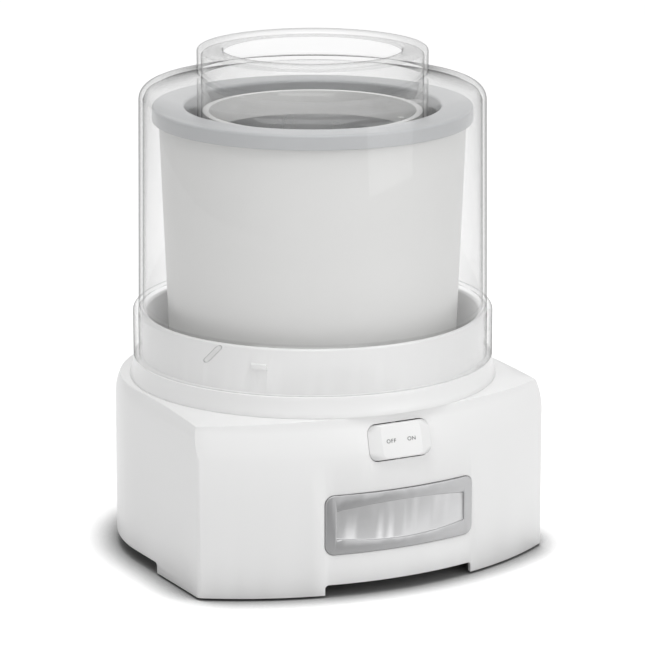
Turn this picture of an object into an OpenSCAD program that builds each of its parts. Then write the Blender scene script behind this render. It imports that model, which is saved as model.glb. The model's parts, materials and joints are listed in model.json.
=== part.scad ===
// Ice cream maker: a base with a geared motor, a double-walled freezer bowl that it turns,
// a paddle that stands still in the bowl, and a clear lid with an open spout.
// Millimetres. Origin on the bowl's axis at the surface it stands on, front towards -Y, +Z up.

/* [Base] */
// Width of the deck beside the flare, out to the straight sides
side_deck = 5.2; // [4:0.2:10]
// Width of the deck in front of the flare, out to the middle of the bowed front
front_deck = 2.5; // [2:0.1:6]
// How much the flat at the back cuts off the round back
back_flat = 9.5; // [6:0.5:12]
// Radius of the bowed front, seen from above
bow_r = 190; // [170:1:240]
// How far behind the axis the round back is centred
back_arc_y = 6.8; // [4:0.2:8]
// Thickness of the moulded walls
wall = 2.8; // [2.2:0.1:3.2]
// Radius of the two front corners
corner_r = 4; // [3.4:0.2:8]
// Height of the skirt's edge over the surface
skirt_gap = 1.5; // [1:0.1:3]
// Height of the upright walls from the skirt's edge to the front shoulder
wall_h = 77.5; // [74:0.5:90]
// Height of the front shoulder band
shoulder_h = 17.5; // [15:0.5:20]
// How far the front shoulder leans in
shoulder_in = 5; // [4:0.2:6]
// How far above the front shoulder's lower edge the side shoulder starts
side_step = 9; // [6:0.5:10]
// Height of the side shoulder's curve
side_h = 18.6; // [17:0.2:22]
// Width of the side shoulder's curve
side_in = 14; // [12:0.5:16]
// Fall of the deck for each millimetre away from the collar
deck_slope = 0.12; // [0.08:0.01:0.14]
// Height of the notches in the skirt
notch_h = 5.8; // [4:0.2:6.4]
// Width of the front notch
front_notch_w = 92; // [60:1:110]
// Length of the side notches
side_notch_l = 85; // [50:1:90]
// Where the side notches start, in front of the axis
side_notch_y = 20.5; // [15:0.5:24]
// Width of the back notch
back_notch_w = 64; // [40:1:72]

/* [Well] */
// Gap between the collar and the rim of the bowl as it is lowered in
collar_gap = 3.8; // [3:0.1:5]
// Thickness of the collar's wall
collar_wall = 3; // [2.4:0.1:3.6]
// Height of the collar over its ledge
collar_h = 25.8; // [22:0.2:30]
// Height of the flared skirt under the ledge
flare_h = 11.4; // [9:0.2:14]
// Width of the flare at its foot, past the lid's ring
flare_w = 2.4; // [1.6:0.2:3]
// Width of the deck that carries the well
deck_seat = 7; // [5:0.5:9]
// Thickness of the well's floor, which seats on the deck
floor_t = 3; // [2.6:0.1:3.4]

/* [Switch] */
// Length of the rocker
rocker_l = 37; // [32:0.5:42]
// Height of the rocker
rocker_h = 19.5; // [17:0.5:20]
// How far the rocker stands out of the shoulder
rocker_out = 4; // [3:0.1:4.6]
// Distance of the rocker from the middle, to the left
rocker_left = 2; // [0:0.5:8]
// Height of the rocker's middle over the shoulder's lower edge
rocker_up = 6.25; // [5.5:0.25:7]
// Angle that the rocker turns between OFF and ON
rocker_angle = 8; // [5:0.5:9]

/* [Badge] */
// Width of the bare badge plate
badge_w = 92; // [70:1:110]
// Height of the badge plate
badge_h = 33.5; // [26:0.5:38]
// Height of the badge's lower edge over the skirt's edge
badge_up = 23; // [16:0.5:28]
// Thickness of the badge plate
badge_t = 2; // [1.8:0.1:2.2]
// Width of the frame around the badge's sunk panel
badge_frame = 6; // [4:0.5:9]

/* [Bowl] */
// Height of the bowl
bowl_h = 145.6; // [140:0.2:152]
// Outer radius of the bowl's rim band
rim_r = 89.9; // [89:0.1:90.5]
// Height of the rim band
rim_h = 8.6; // [7.5:0.1:10]
// Width of the rim, from its outer edge to the opening of the bowl
rim_w = 18.1; // [17:0.1:19]
// How far the rim band stands out past the outer shell
rim_over = 3.6; // [3:0.1:4.5]
// How much narrower the outer shell is at its foot
shell_taper = 5.5; // [3:0.1:7]
// Thickness of the outer shell
shell_t = 2.4; // [2:0.1:2.8]
// Thickness of the aluminium liner
liner_t = 1.4; // [1:0.1:1.8]
// Height of the liner's floor over the foot of the bowl
liner_floor = 19.4; // [17:0.2:24]

/* [Lid] */
// Wall of the lid's locking ring
ring_wall = 3; // [2.6:0.1:3.4]
// Gap between the collar and the lid's ring
ring_gap = 1.9; // [1.5:0.1:2.4]
// How far the lid's cylinder steps in above the ring
lid_step = 3.2; // [2.6:0.1:3.8]
// Narrowing of the lid's cylinder towards its top
lid_taper = 1.2; // [0.6:0.1:1.6]
// Thickness of the lid's walls
lid_wall = 2.3; // [2:0.1:2.6]
// Height of the lid's plate over the rim of the bowl, at the spout
headroom = 16.7; // [15:0.2:22]
// Outer radius of the spout
spout_r = 64.6; // [62:0.2:66]
// Height of the spout over the plate
spout_h = 15.3; // [10:0.2:20]
// Width of the spout's top, from its edge to the open mouth
spout_w = 14.5; // [10:0.5:20]
// Number of oblique locking ribs in the ring
lock_n = 3; // [2:1:4]

/* [Gears] */
// Module of the first two gear pairs
small_module = 1; // [0.9:0.05:1.05]
// Module of the last gear pair
big_module = 1.25; // [1.1:0.05:1.3]
// Teeth of the motor pinion and of the small wheel that turns the second gear
pinion_teeth = 12; // [12:1:14]
// Teeth of the large wheels of the two compound gears
wheel_teeth = 48; // [40:1:48]
// Teeth of the small wheel that turns the drive gear
last_pinion_teeth = 14; // [13:1:15]
// Teeth of the drive gear
drive_teeth = 56; // [50:1:58]
// Play between the flanks of two teeth
backlash = 0.2; // [0.1:0.05:0.3]

/* [Motor] */
// Width of the square stator
stator_w = 56; // [50:1:58]
// Height of the stator's stack
stator_h = 16; // [12:0.5:17]
// Radius of the rotor
rotor_r = 14.9; // [13:0.1:16]
// Radius of the motor's shaft
shaft_r = 3; // [2.5:0.1:3.2]

/* [Hidden] */
$fn = 96;

far = 400; // longer than the whole object, for cuts that run right through
eps = 0.01;
seat = 0.3; // gap between a moving piece and the piece it rests on
fit = 0.05; // radial clearance of a pin or bush in its hole

// radii, worked out from the rim of the bowl
shell_top_r = rim_r - rim_over;
shell_foot_r = shell_top_r - shell_taper;
rim_inner_r = rim_r - rim_w;
well_r = rim_r + collar_gap;
collar_r = well_r + collar_wall;
ring_r = collar_r + ring_gap + ring_wall;
lid_r = ring_r - lid_step;
flare_r = ring_r + flare_w;
deck_hole_r = flare_r - deck_seat;
mouth_r = spout_r - spout_w;
half_w = flare_r + side_deck;
front_y = flare_r + front_deck;
back_y = half_w + back_arc_y - back_flat;
bow_cy = bow_r - front_y;

// heights of the base
shoulder_z = skirt_gap + wall_h;
side_z = shoulder_z + side_step;
deck_z = shoulder_z + shoulder_h + 3.3;
ledge_z = deck_z + flare_h;
collar_z = ledge_z + collar_h;
floor_under = deck_z;
floor_z = floor_under + floor_t;

// base plate, feet and the posts that the case screws hold
plate_gap = 0.3;
plate_t = 2.5;
plate_z = skirt_gap + notch_h + 1.7;
plate_top = plate_z + plate_t;
foot_r = 9;
foot_h = 4.5;
post_r = 4.5;
post_x = [half_w - 23.2, half_w - 45.2];
post_y = [48.5 - front_y, back_y - 30.5];
posts = [[-post_x[0], post_y[0]], [post_x[0], post_y[0]], [-post_x[1], post_y[1]], [post_x[1], post_y[1]]];
screw_r = 1.5;
screw_head_r = 3.2;

// switch: its plane leans back with the shoulder band
lean = atan(shoulder_in / shoulder_h);
switch_at = [-rocker_left, shoulder_in * rocker_up / shoulder_h - front_y, shoulder_z + rocker_up];
pivot_deep = 4.7;
pivot_r = 1.25;
pivot_l = rocker_h / 2 + 2;
surround_deep = 6;
switch_w = rocker_l + 7;
switch_h = rocker_h + 7;
rocker_gap = 0.6;
switch_deep = 13;

// bowl and lid
bowl_z = floor_z + 5.6;
rim_z = bowl_z + bowl_h;
liner_z = bowl_z + liner_floor;
rim_skin = 2.2;
liner_top_r = rim_inner_r + rim_skin + 0.4;
liner_foot_r = liner_top_r - 6.3;
liner_round = 14;
plate_lid_z = rim_z + headroom;
lid_z = ledge_z + seat;
ring_top = collar_z + 3;
lid_top_r = lid_r - lid_taper;
spout_top = plate_lid_z + spout_h;
skirt_low = rim_z - 9;

// gear train, from the drive gear back to the motor
pressure = 25;
tip = 0.8; // height of a tooth over the pitch circle, in modules
root = 1.1; // depth of a tooth under it
pair_small = small_module * (pinion_teeth + wheel_teeth) / 2;
pair_big = big_module * (last_pinion_teeth + drive_teeth) / 2;
second_turn = 150;
first_turn = 60;
second_at = pair_big * [cos(second_turn), sin(second_turn)];
first_at = second_at + pair_small * [cos(first_turn), sin(first_turn)];
motor_at = first_at + [pair_small, 0];
boss_h = 6; // height of the well's bosses that the gearbox is screwed to
cover_top = floor_under - boss_h;
cover_t = 2.5;
cover_z = cover_top - cover_t;
tray_h = 23.5;
tray_t = 2.5;
tray_top = cover_z - tray_h;
tray_z = tray_top - tray_t;
tray_wall = 2.5;
first_z = tray_top + 2;
wheel_h = 5;
layer_h = 6.5; // from one layer of wheels to the next
second_z = first_z + layer_h;
last_z = second_z + layer_h;
drive_h = 7;
axle_r = 2;
run = 0.06; // running clearance of a gear on its axle
drive_r = big_module * (drive_teeth / 2 + tip);
wheel_r = small_module * (wheel_teeth / 2 + tip);
journal_r = 4;
hub_shaft_r = 8;
bush_r = 11;
lugs = [
    [0, -drive_r - 9], [drive_r + 8, 10],
    second_at + [-wheel_r - 8, 0], first_at + [0, wheel_r + 8]
];

// motor, hung under the gearbox
bracket_t = 2;
motor_drop = 5.5; // from the gearbox down to the motor's upper bracket
upper_bracket_z = tray_z - motor_drop;
coil_over = 4;
stator_z = upper_bracket_z - 1 - coil_over - stator_h;
lower_bracket_z = stator_z - coil_over - 1 - 2.5;
motor_bolt_r = 1.9;
motor_bolt_at = stator_w / 2 - 5;
fan_r = 24;
fan_h = 5;
fan_z = lower_bracket_z - 1.6 - fan_h;

// cord gland in the flat back
gland_at = [-28, skirt_gap + 26];
gland_r = 6.5;
cord_bore_r = 3.4;

// ---------- shared shapes ----------

// rectangle with four round corners, centred
module round_rect(w, h, r) {
    square([w - 2 * r, h], center = true);
    square([w, h - 2 * r], center = true);
    for (x = [-1, 1], y = [-1, 1])
        translate([x * (w / 2 - r), y * (h / 2 - r)]) circle(r);
}

// slot with round ends, w wide and long along Y, centred
module slot(w, long) {
    square([w, long - w], center = true);
    for (y = [-1, 1])
        translate([0, y * (long - w) / 2]) circle(w / 2, $fn = 32);
}

// pipe along +Z
module tube(r_out, r_in, h) {
    difference() {
        cylinder(r = r_out, h = h);
        translate([0, 0, -1]) cylinder(r = r_in, h = h + 2);
    }
}

// one wire of round section through a list of points
module wire(points, r) {
    for (i = [0 : len(points) - 2]) {
        step = points[i + 1] - points[i];
        flat = norm([step[0], step[1]]);
        translate(points[i])
            rotate([0, atan2(flat, step[2]), atan2(step[1], step[0])])
                cylinder(r = r, h = norm(step), $fn = 24);
    }
    for (i = [1 : len(points) - 2])
        translate(points[i]) sphere(r = r + 0.1, $fn = 24);
}

// ---------- base housing ----------

// bowed front: a solid of revolution about the centre of the bow
module bow_form(inset) {
    r = bow_r - inset;
    steps = 6;
    translate([0, bow_cy, 0])
        rotate_extrude()
            polygon(concat(
                [[0, skirt_gap - inset], [r, skirt_gap - inset]],
                [for (i = [0 : steps])
                    let (t = i / steps)
                    [r - shoulder_in * t * (0.55 + 0.45 * t), shoulder_z + shoulder_h * t]],
                [[r - shoulder_in, collar_z], [0, collar_z]]
            ));
}

// outline of one side, from the skirt over the soft shoulder
function side_outline(inset) = concat(
    [[half_w - inset, skirt_gap - inset]],
    [for (a = [0 : 11.25 : 90])
        [half_w - inset - side_in * (1 - cos(a)), side_z + side_h * sin(a)]],
    [[half_w - inset - side_in, collar_z]]
);

// straight sides in front of the axis, and the round back with its flat
module side_form(inset) {
    side = side_outline(inset);
    intersection() {
        union() {
            translate([0, back_arc_y, 0])
                rotate([90, 0, 0])
                    linear_extrude(front_y + back_arc_y + 10)
                        polygon(concat(side, [for (i = [len(side) - 1 : -1 : 0]) [-side[i][0], side[i][1]]]));
            translate([0, back_arc_y, 0])
                rotate_extrude()
                    polygon(concat([[0, skirt_gap - inset]], side, [[0, collar_z]]));
        }
        translate([-far / 2, back_y - inset - far, -far / 2]) cube(far);
    }
}

// room outside the two front corners: rounded, or cut straight where the radius gets very small
module corner_cut(inset) {
    r = corner_r - inset;
    c = [half_w - corner_r, bow_cy - sqrt(pow(bow_r - corner_r, 2) - pow(half_w - corner_r, 2))];
    turn = atan2(c[1] - bow_cy, c[0]);
    reach = 30;
    if (r > 0.3)
        for (side = [0, 1])
            mirror([side, 0, 0])
                translate([c[0], c[1], -1])
                    linear_extrude(collar_z)
                        difference() {
                            polygon([
                                [0, 0], [reach, 0], [reach, -reach],
                                [reach * cos(turn), reach * sin(turn)]
                            ]);
                            if (r > 1)
                                circle(r);
                            else
                                rotate(turn / 2) translate([-reach, -reach]) square([reach + r, 2 * reach]);
                        }
}

// the whole outer form of the base under its deck, drawn in by inset
module base_form(inset) {
    top = deck_z - inset;
    difference() {
        intersection() {
            bow_form(inset);
            side_form(inset);
            rotate_extrude()
                polygon([[0, -5], [far / 2, -5], [far / 2, top - deck_slope * (far / 2 - flare_r)],
                    [flare_r, top], [0, top]]);
        }
        corner_cut(inset);
    }
}

// collar with its ledge and the floor of the well
module well_ring() {
    round_r = collar_wall / 2;
    rotate_extrude()
        polygon(concat(
            [[bush_r + fit, floor_under], [flare_r, floor_under]],
            [for (t = [0.25 : 0.25 : 1])
                [flare_r - flare_w * (1 - pow(1 - t, 2)), deck_z + flare_h * t]],
            [[collar_r, ledge_z]],
            [for (a = [0 : 30 : 180])
                [well_r + round_r + round_r * cos(a), collar_z - round_r + round_r * sin(a)]],
            [[well_r, floor_z + 3], [well_r - 3, floor_z], [bush_r + fit, floor_z]]
        ));
}

// short lugs on the collar that the lid's ribs turn under
module collar_lugs() {
    lug_r = collar_r + 1.2;
    intersection() {
        tube_at(collar_r - 1, lug_r, ledge_z + 10, 14);
        for (i = [0 : lock_n - 1])
            rotate([0, 0, i * 360 / lock_n - 61.6 - 90 + 16])
                translate([collar_r, 0, ledge_z + 15]) cube([6, 9, 3], center = true);
    }
}

module tube_at(r_in, r_out, z, h) {
    translate([0, 0, z]) tube(r_out, r_in, h);
}

// notch with round upper corners, w wide, cut along +Y
module notch(w, long) {
    r = 2.2;
    translate([0, long / 2, 0])
        rotate([90, 0, 0])
            linear_extrude(long) {
                translate([-w / 2, -3]) square([w, skirt_gap + notch_h - r + 3]);
                translate([r - w / 2, 0]) square([w - 2 * r, skirt_gap + notch_h]);
                for (x = [-1, 1])
                    translate([x * (w / 2 - r), skirt_gap + notch_h - r]) circle(r, $fn = 32);
            }
}

module skirt_notches() {
    translate([0, -front_y, 0]) notch(front_notch_w, 80);
    translate([0, back_y, 0]) notch(back_notch_w, 20);
    for (x = [-1, 1])
        translate([x * half_w, side_notch_l / 2 - side_notch_y, 0])
            rotate([0, 0, 90]) notch(side_notch_l, 46);
}

// switch plane: X to the right, Y up along the shoulder, Z out of it
module at_switch() {
    translate(switch_at) rotate([90 - lean, 0, 0]) children();
}

function switch_point(p) = switch_at
    + [p[0], p[1] * sin(lean) - p[2] * cos(lean), p[1] * cos(lean) + p[2] * sin(lean)];

module switch_opening(gap) {
    at_switch()
        translate([0, 0, -surround_deep - 2])
            linear_extrude(surround_deep + 12)
                round_rect(rocker_l + 2 * gap, rocker_h + 2 * gap, 5 + gap);
}

// slots in the surround that the rocker's pivot pins drop into
module pivot_slots() {
    at_switch()
        for (side = [0, 1])
            mirror([0, side, 0])
                translate([0, rocker_h / 2, -pivot_deep]) {
                    rotate([-90, 0, 0]) cylinder(r = pivot_r + fit, h = 2.4);
                    translate([-pivot_r - fit, 0, -4]) cube([2 * (pivot_r + fit), 2.4, 4]);
                }
}

// badge outline on the bowed front, cut between two radii of the bow
module badge_block(w, h, r, r_in, r_out) {
    intersection() {
        translate([0, bow_cy, 0]) tube_at(r_in, r_out, 0, shoulder_z);
        translate([0, -front_y + 20, skirt_gap + badge_up + badge_h / 2])
            rotate([90, 0, 0]) linear_extrude(40) round_rect(w, h, r);
    }
}

module badge_studs(r) {
    for (x = [-1, 1])
        translate([x * badge_w * 0.32, bow_cy - sqrt(pow(bow_r, 2) - pow(badge_w * 0.32, 2)),
            skirt_gap + badge_up + badge_h / 2])
            rotate([-90, 0, 0]) cylinder(r = r, h = 7);
}

module base_housing() {
    color("white") difference() {
        union() {
            difference() {
                base_form(0);
                base_form(wall);
            }
            // surround that the switch body is pressed against
            intersection() {
                base_form(0.5);
                at_switch()
                    translate([0, 0, -surround_deep])
                        linear_extrude(surround_deep + 4) round_rect(switch_w, switch_h, 5);
            }
            // posts for the case screws
            intersection() {
                base_form(1);
                for (p = posts)
                    translate([p[0], p[1], plate_top]) cylinder(r = post_r, h = far);
            }
        }
        translate([0, 0, deck_z - 2 * wall]) cylinder(r = deck_hole_r, h = far);
        skirt_notches();
        switch_opening(rocker_gap);
        pivot_slots();
        badge_block(badge_w + 0.8, badge_h + 0.8, 5.4, bow_r - 1.2, bow_r + 5);
        badge_studs(1.5 + fit);
        for (p = posts)
            translate([p[0], p[1], plate_top - 1]) cylinder(r = screw_r + fit, h = 16);
        translate([gland_at[0], back_y - 2 * wall, gland_at[1]])
            rotate([-90, 0, 0]) cylinder(r = gland_r + fit, h = 3 * wall);
    }
}

// moulding that the bowl turns in: its floor seats on the deck, and the gearbox hangs under it
module bowl_well() {
    color("white") difference() {
        union() {
            well_ring();
            collar_lugs();
            for (p = lugs)
                translate([p[0], p[1], cover_top]) cylinder(r = 4, h = floor_under - cover_top + 1);
        }
        for (p = lugs)
            translate([p[0], p[1], cover_top - 1]) cylinder(r = screw_r + fit, h = boss_h + 1);
    }
}

// ---------- base plate, feet and screws ----------

module base_plate() {
    color("whitesmoke") difference() {
        union() {
            intersection() {
                base_form(wall + plate_gap);
                translate([0, 0, plate_z + plate_t / 2]) cube([far, far, plate_t], center = true);
            }
            for (p = posts)
                translate([p[0], p[1], skirt_gap + 0.5]) cylinder(r = foot_r + 2.5, h = plate_z - skirt_gap);
        }
        for (p = posts)
            translate([p[0], p[1], 0]) {
                translate([0, 0, -1]) cylinder(r = foot_r + 0.2, h = foot_h + 1 + 0.1);
                cylinder(r = screw_head_r + 0.2, h = foot_h + 2.3);
                cylinder(r = screw_r + 0.1, h = far);
            }
        // air slots under the fan
        for (i = [-4 : 4])
            translate([motor_at[0] + i * 6, motor_at[1], plate_z - 1])
                linear_extrude(plate_t + 2) slot(3, 2 * sqrt(pow(fan_r + 3, 2) - pow(i * 6, 2)));
    }
}

module rubber_feet() {
    color("dimgray")
        for (p = posts)
            translate([p[0], p[1], 0])
                rotate_extrude()
                    polygon([[0, 0], [foot_r - 1, 0], [foot_r, 1], [foot_r, foot_h], [0, foot_h]]);
}

module screw(head_r, head_h, shank_r, long) {
    translate([0, 0, -head_h]) cylinder(r = head_r, h = head_h);
    translate([0, 0, -eps]) cylinder(r = shank_r, h = long + eps);
}

module case_screws() {
    color("silver")
        for (p = posts)
            translate([p[0], p[1], foot_h + 2.3])
                screw(screw_head_r, 2, screw_r, plate_top + 13 - foot_h - 2.3);
}

// ---------- badge ----------

// sunk panel with bowed upper and lower edges
module badge_panel_outline() {
    w = badge_w - 2 * badge_frame;
    h = badge_h - 2 * badge_frame;
    bow = 3;
    r = (pow(w / 2, 2) + pow(bow, 2)) / (2 * bow);
    intersection() {
        round_rect(w, h + 2, 2);
        translate([0, h / 2 - r]) circle(r, $fn = 128);
        translate([0, r - h / 2]) circle(r, $fn = 128);
    }
}

module badge_plate() {
    color("silver") {
        difference() {
            badge_block(badge_w, badge_h, 5, bow_r - 1.1, bow_r - 1.1 + badge_t);
            intersection() {
                translate([0, bow_cy, 0]) tube_at(bow_r - 1.1 + badge_t / 2, bow_r + 9, 0, shoulder_z);
                translate([0, -front_y + 20, skirt_gap + badge_up + badge_h / 2])
                    rotate([90, 0, 0]) linear_extrude(40) badge_panel_outline();
            }
        }
        intersection() {
            badge_studs(1.5);
            translate([0, bow_cy, 0]) cylinder(r = bow_r - 1, h = shoulder_z);
        }
    }
}

// ---------- switch ----------

module switch_body() {
    color("dimgray") at_switch() difference() {
        union() {
            translate([0, 0, -surround_deep - 2])
                linear_extrude(2 - 0.02) round_rect(switch_w, switch_h, 4);
            translate([0, 0, -switch_deep])
                linear_extrude(switch_deep - surround_deep - 1)
                    round_rect(switch_w - 2, switch_h - 2, 3);
        }
        translate([0, 0, 2 - switch_deep])
            linear_extrude(switch_deep) round_rect(rocker_l + 1.6, rocker_h + 1.2, 5);
    }
}

module switch_terminals() {
    color("goldenrod") at_switch()
        for (x = [-10, 0, 10])
            translate([x, -5, -switch_deep - 3.5]) cube([5, 0.8, 7], center = true);
}

module switch_rocker() {
    color("white") at_switch()
        translate([0, 0, -pivot_deep])
            rotate([0, -rocker_angle / 2, 0])
                translate([0, 0, pivot_deep]) {
                    translate([0, 0, -5.4])
                        linear_extrude(5.4 + 0.8) round_rect(rocker_l, rocker_h, 5);
                    hull() {
                        translate([0, 0, 0.7])
                            linear_extrude(0.1) round_rect(rocker_l, rocker_h, 5, $fn = 32);
                        translate([0, 0, rocker_out - 0.5])
                            linear_extrude(0.1)
                                round_rect(rocker_l - 12, rocker_h - 0.6, 3, $fn = 32);
                        translate([0, 0, rocker_out - 0.1])
                            linear_extrude(0.1)
                                round_rect(rocker_l - 13.2, rocker_h - 1.8, 3, $fn = 32);
                    }
                    for (side = [0, 1])
                        mirror([0, side, 0])
                            translate([0, rocker_h / 2 - 1, -pivot_deep])
                                rotate([-90, 0, 0]) cylinder(r = pivot_r, h = pivot_l - rocker_h / 2 + 1);
                    // finger that tips the contact
                    translate([0, 0, -7]) cube([3, 8, 3.4], center = true);
                }
}

// ---------- cord gland and wires ----------

module cord_gland() {
    color("whitesmoke")
        translate([gland_at[0], back_y, gland_at[1]])
            rotate([-90, 0, 0])
                difference() {
                    union() {
                        translate([0, 0, -wall - 8]) cylinder(r = gland_r, h = wall + 9);
                        cylinder(r = gland_r + 2.5, h = 1.8);
                        translate([0, 0, -wall - 2]) cylinder(r = gland_r + 1.8, h = 1.9);
                    }
                    translate([0, 0, -wall - 9]) cylinder(r = cord_bore_r, h = wall + 20);
                }
}

wire_r = 1.2;
wire_low = plate_top + 12;
wire_start = [gland_at[0], back_y - wall - 10, gland_at[1]];

module internal_wires() {
    side_x = half_w - 20;
    stator_left = motor_at[0] - stator_w / 2;
    left = switch_point([-10, -5, -switch_deep - 8]);
    right = switch_point([10, -5, -switch_deep - 8]);
    color("black") {
        wire([
            wire_start + [-1.6, 0, 0], wire_start + [-8, -6, 0], [-side_x + 14, back_y - 60, wire_low],
            [-side_x + 8, 0, wire_low], [-side_x + 20, 40 - front_y, wire_low + 8], left + [-6, 10, -14], left
        ], wire_r);
        wire([
            wire_start + [1.6, 0, 0], wire_start + [2, -5, 0],
            [stator_left - 8, motor_at[1] + 8, stator_z - 2],
            [stator_left - 4, motor_at[1] + 4, stator_z + stator_h / 2],
            [stator_left - 0.5, motor_at[1] + 4, stator_z + stator_h / 2]
        ], wire_r);
        wire([
            right, right + [4, 10, -14], [30, -30, wire_low + 20],
            [motor_at[0] + 6, motor_at[1] - stator_w / 2 - 8, stator_z + stator_h / 2],
            [motor_at[0] + 6, motor_at[1] - stator_w / 2 - 0.5, stator_z + stator_h / 2]
        ], wire_r);
    }
}

// ---------- gearbox ----------

module gear_rooms(extra) {
    circle(drive_r + 3.2 + extra);
    translate(second_at) circle(wheel_r + 2.2 + extra);
    translate(first_at) circle(wheel_r + 2.2 + extra);
    translate(motor_at) circle(9.5 + extra);
}

module lug_outline() {
    for (p = lugs)
        translate(p) circle(5.5);
}

module gearbox_housing() {
    color("beige") difference() {
        union() {
            translate([0, 0, tray_z]) linear_extrude(tray_t) {
                gear_rooms(tray_wall);
                lug_outline();
                translate(motor_at) round_rect(stator_w + 2, stator_w + 2, 6);
            }
            translate([0, 0, tray_top - eps]) linear_extrude(tray_h + eps) difference() {
                union() {
                    gear_rooms(tray_wall);
                    lug_outline();
                }
                gear_rooms(0);
            }
            // seats that carry the compound gears
            translate([first_at[0], first_at[1], tray_top - 1])
                cylinder(r = 4, h = first_z - seat - tray_top + 1);
            translate([second_at[0], second_at[1], tray_top - 1])
                cylinder(r = 4, h = second_z - seat - tray_top + 1);
            // feet that the motor hangs from
            for (x = [-1, 1], y = [-1, 1])
                translate([motor_at[0] + x * motor_bolt_at, motor_at[1] + y * motor_bolt_at,
                    upper_bracket_z + bracket_t])
                    cylinder(r = 4, h = tray_z - upper_bracket_z - bracket_t + 1);
        }
        translate([0, 0, tray_z - 1]) cylinder(r = journal_r + 3 + fit, h = tray_t + 2);
        translate([motor_at[0], motor_at[1], tray_z - 1]) cylinder(r = shaft_r + 1.5, h = tray_t + 2);
        for (p = [first_at, second_at])
            translate([p[0], p[1], tray_z + 1]) cylinder(r = axle_r + 0.02, h = far);
        for (p = lugs)
            translate([p[0], p[1], tray_z - 1]) cylinder(r = screw_r + 0.2, h = far);
        for (x = [-1, 1], y = [-1, 1])
            translate([motor_at[0] + x * motor_bolt_at, motor_at[1] + y * motor_bolt_at,
                upper_bracket_z - 1])
                cylinder(r = motor_bolt_r + fit, h = tray_top - upper_bracket_z);
    }
}

module gearbox_cover() {
    top_of_first = second_z + 6;
    top_of_second = last_z + drive_h + 1.5;
    color("beige") difference() {
        union() {
            translate([0, 0, cover_z]) linear_extrude(cover_t) {
                gear_rooms(tray_wall);
                lug_outline();
            }
            translate([first_at[0], first_at[1], top_of_first + seat])
                cylinder(r = 4, h = cover_z - top_of_first);
            translate([second_at[0], second_at[1], top_of_second + seat])
                cylinder(r = 4, h = cover_z - top_of_second);
        }
        translate([0, 0, cover_z - 1]) cylinder(r = hub_shaft_r + 0.6, h = cover_t + 2);
        for (p = [first_at, second_at])
            translate([p[0], p[1], tray_top]) cylinder(r = axle_r + 0.02, h = cover_z - tray_top + 1);
        for (p = lugs)
            translate([p[0], p[1], cover_z - 1]) cylinder(r = screw_r + 0.2, h = cover_t + 2);
    }
}

module gearbox_screws() {
    color("silver")
        for (p = lugs)
            translate([p[0], p[1], tray_z])
                screw(screw_head_r, 2, screw_r, cover_top + boss_h - 1 - tray_z);
}

module gear_axles() {
    color("silver")
        for (p = [first_at, second_at])
            translate([p[0], p[1], tray_z + 1]) cylinder(r = axle_r, h = cover_z - tray_z);
}

module lower_bush() {
    color("peru") translate([0, 0, tray_z]) {
        tube(journal_r + 3, journal_r + fit, tray_t);
        translate([0, 0, tray_t]) tube(journal_r + 4.5, journal_r + fit, 1.5);
    }
}

module hub_bush() {
    color("peru") translate([0, 0, floor_under - 1.2]) {
        tube(bush_r, hub_shaft_r + fit, floor_t + 1.2);
        translate([0, 0, floor_t + 1.2]) tube(bush_r + 3, hub_shaft_r + fit, 1.2);
    }
}

// involute of the circle r_base, rolled off by t degrees
function involute(r_base, t) = r_base * [cos(t) + t * PI / 180 * sin(t), sin(t) - t * PI / 180 * cos(t)];
function turned(p, a) = [p[0] * cos(a) - p[1] * sin(a), p[0] * sin(a) + p[1] * cos(a)];
function roll_at(r, r_base) = r > r_base ? sqrt(pow(r / r_base, 2) - 1) * 180 / PI : 0;
function inv(a) = tan(a) * 180 / PI - a;

// spur wheel with involute flanks; tooth 0 is centred on +X
module spur_outline(m, teeth) {
    r_pitch = m * teeth / 2;
    r_base = r_pitch * cos(pressure);
    r_tip = r_pitch + tip * m;
    r_root = r_pitch - root * m;
    half = 90 / teeth + inv(pressure) - backlash / 2 / r_pitch * 90 / PI;
    r_from = r_root - 0.06 * m;
    t_from = roll_at(r_from, r_base);
    t_to = roll_at(r_tip, r_base);
    steps = 4;
    upper = [for (i = [0 : steps])
        let (p = involute(r_base, t_from + (t_to - t_from) * i / steps))
        turned([p[0], -p[1]], half)];
    low = turned([r_root - 0.3 * m, 0], half - (r_from > r_base ? inv(acos(r_base / r_from)) : 0));
    union() {
        circle(r_root, $fn = 96);
        for (k = [0 : teeth - 1])
            rotate(k * 360 / teeth)
                polygon(concat([[r_root * 0.9, 0]], [[low[0], -low[1]]],
                    [for (p = upper) [p[0], -p[1]]],
                    [for (i = [steps : -1 : 0]) upper[i]], [low]));
    }
}

module drive_gear() {
    color("ivory") difference() {
        union() {
            translate([0, 0, last_z]) linear_extrude(drive_h) spur_outline(big_module, drive_teeth);
            // hub under the wheel, journal in the lower bush, shaft through the well's floor
            translate([0, 0, tray_top + 1.5 + seat]) cylinder(r = 9, h = last_z - tray_top);
            translate([0, 0, tray_z + 0.5]) cylinder(r = journal_r, h = 8);
            translate([0, 0, last_z + 1]) cylinder(r = hub_shaft_r, h = floor_z + 1.3 - last_z - 1);
            translate([-4.5, -4.5, floor_z]) cube([9, 9, 3.6]);
        }
        // six holes lighten the wheel
        for (a = [0 : 60 : 300])
            rotate([0, 0, a]) translate([drive_r * 0.6, 0, last_z - 1]) cylinder(r = 5.5, h = drive_h + 2);
        translate([0, 0, floor_z - 9]) cylinder(r = 1.9 + 0.02, h = 20);
    }
}

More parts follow.
